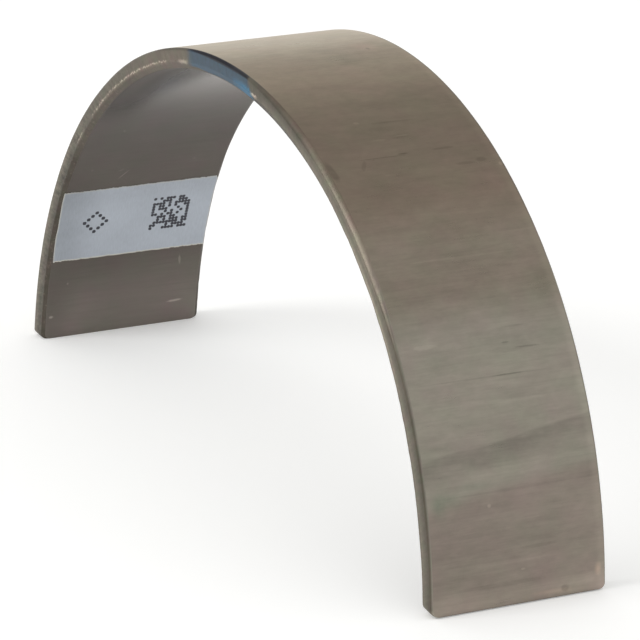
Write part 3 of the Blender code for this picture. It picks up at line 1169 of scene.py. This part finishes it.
def make_label_cut():
    """The film's cut edges and its glued side."""
    colours = bpy.context.scene.bearing_label_colours
    material, s, sockets = new_material("label_cut", 0.6, 0.0)
    cloud = s.cloud(s.group("Strip place")["Flat"], 0.6)
    s.feed(sockets["Base Color"], s.level(colours.cut, s.total(1.0, (cloud, 0.3))))
    return material


class BEARING_OT_dress_label(bpy.types.Operator):
    """Lays the printed label on the bore, in the place of the packed one."""

    bl_idname = "bearing.dress_label"
    bl_label = "Label"

    def execute(self, context):
        points, flats = film_points(LabelSheet(Arc()))
        faces, choices = film_faces()
        materials = [make_label_film(), make_label_cut()]
        label = new_piece("label_film", points, faces, flats, materials, choices)
        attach(label, "root")
        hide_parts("label")
        return {"FINISHED"}


# The studio


FLOOR_REACH = 3.0
FLOOR_GLOW = 0.21  # added where the camera and reflections see the floor
# The soft box: direction from the shell, distance, side and watts
BOX_WAY, BOX_AWAY, BOX_SIDE, BOX_WATTS = (-0.07, -0.77, 0.63), 0.5, 0.2, 0.85
# Fields of the room's light: direction, from and to which cosine it eases in, and how much it adds
SKY_FIELDS = (
    ((-0.88, 0.46, 0.05), 0.75, 1.0, 0.42),
    ((0.30, -0.93, 0.20), 0.30, 0.90, -0.40),
    ((-0.42, 0.45, 0.79), 0.75, 1.0, -0.16),
)


def camera_axes(settings):
    """The camera's right, up and back directions."""
    a, e = settings.azimuth, settings.elevation
    back = Vector((math.sin(a) * math.cos(e), -math.cos(a) * math.cos(e), math.sin(e)))
    right = Vector((math.cos(a), math.sin(a), 0.0))
    up = back.cross(right)
    cos, sin = math.cos(settings.roll), math.sin(settings.roll)
    return cos * right + sin * up, cos * up - sin * right, back


def add_camera(settings):
    right, up, back = camera_axes(settings)
    data = bpy.data.cameras.new("camera")
    data.sensor_width = 36
    data.lens = settings.lens
    data.clip_start, data.clip_end = 0.01, 20
    camera = place_in_scene("camera", data)
    turn = Matrix((right, up, back)).transposed().to_4x4()
    place = right * settings.right + up * settings.up + back * settings.distance
    camera.matrix_world = Matrix.Translation(place) @ turn
    bpy.context.scene.camera = camera


def add_soft_box():
    """A square area light that looks at the shell's middle."""
    data = bpy.data.lights.new("front_box", "AREA")
    data.shape, data.size, data.energy = "SQUARE", BOX_SIDE, BOX_WATTS
    light = place_in_scene("front_box", data)
    way = Vector(BOX_WAY).normalized()
    light.location = Vector((0, 0, SHELL_HIGH.z / 2)) + way * BOX_AWAY
    light.rotation_euler = way.to_track_quat("Z", "Y").to_euler()


def add_floor(settings):
    """A pale floor that shows lighter to the camera and to reflections than it lights the shell."""
    mesh = bpy.data.meshes.new("floor")
    corners = [(x * FLOOR_REACH, y * FLOOR_REACH, 0) for x, y in ((-1, -1), (1, -1), (1, 1), (-1, 1))]
    mesh.from_pydata(corners, [], [(0, 1, 2, 3)])
    place_in_scene("floor", mesh)
    material, s, sockets = new_material("floor", 0.9, 0.0)
    grain = s.noise(s.node("ShaderNodeTexCoord").outputs["Object"], 30.0)
    s.feed(sockets["Base Color"], s.level(settings.floor, s.total(1.0, (grain, 0.01))))
    rays = s.node("ShaderNodeLightPath").outputs
    seen = s.most(s.most(rays["Is Camera Ray"], rays["Is Glossy Ray"]), rays["Is Transmission Ray"])
    glow = s.node("ShaderNodeEmission")
    s.feed(glow.inputs["Strength"], s.product(seen, FLOOR_GLOW))
    nodes = material.node_tree.nodes
    both = s.feed_all(s.node("ShaderNodeAddShader"), (nodes["Principled BSDF"].outputs[0], glow.outputs[0]))
    s.feed(nodes["Material Output"].inputs["Surface"], both.outputs[0])
    mesh.materials.append(material)


def add_sky(settings):
    """An even pale room: brighter at the back left, darker low in front and high behind."""
    world = bpy.data.worlds.new("room")
    bpy.context.scene.world = world
    world.use_nodes = True
    s = Shader(world.node_tree)
    way = s.node("ShaderNodeTexCoord").outputs["Generated"]
    fields = []
    for direction, low, high, amount in SKY_FIELDS:
        fields.append(s.step(s.vector("DOT_PRODUCT", way, direction), low, high, 0.0, amount))
    background = world.node_tree.nodes["Background"]
    background.inputs["Color"].default_value = (1, 1, 1, 1)
    s.feed(background.inputs["Strength"], s.total(settings.sky, *fields))


class BEARING_OT_set_studio(bpy.types.Operator):
    """Sets the camera, the floor, the room and the soft box."""

    bl_idname = "bearing.set_studio"
    bl_label = "Studio"

    def execute(self, context):
        settings = context.scene.bearing_studio
        add_camera(settings)
        add_floor(settings)
        add_sky(settings)
        add_soft_box()
        context.scene.view_settings.view_transform = "Standard"
        return {"FINISHED"}


# The sidebar


PIECES = (BEARING_OT_dress_shell, BEARING_OT_dress_label, BEARING_OT_set_studio)
SETTINGS = {
    "bearing_shell_sizes": ShellSizes,
    "bearing_shell_colours": ShellColours,
    "bearing_label_sizes": LabelSizes,
    "bearing_label_colours": LabelColours,
    "bearing_studio": StudioSettings,
}


class BEARING_PT_parts(bpy.types.Panel):
    """Lists the pieces, their sizes and their colours."""

    bl_idname = "BEARING_PT_parts"
    bl_label = "Bearing shell"
    bl_space_type = "VIEW_3D"
    bl_region_type = "UI"
    bl_category = "Bearing"

    def draw(self, context):
        for operator in PIECES:
            self.layout.operator(operator.bl_idname)
        for name, kind in SETTINGS.items():
            box = self.layout.box()
            box.label(text=kind.__doc__)
            settings = getattr(context.scene, name)
            for field in kind.__annotations__:
                box.prop(settings, field)


def register():
    for kind in (*SETTINGS.values(), *PIECES, BEARING_PT_parts):
        bpy.utils.register_class(kind)
    for name, kind in SETTINGS.items():
        setattr(bpy.types.Scene, name, PointerProperty(type=kind))


def unregister():
    for name in SETTINGS:
        delattr(bpy.types.Scene, name)
    for kind in reversed((*SETTINGS.values(), *PIECES, BEARING_PT_parts)):
        bpy.utils.unregister_class(kind)


def main():
    register()
    bpy.ops.bearing.set_studio()
    bpy.ops.bearing.dress_shell()
    bpy.ops.bearing.dress_label()
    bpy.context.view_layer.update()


if __name__ == "__main__":
    main()
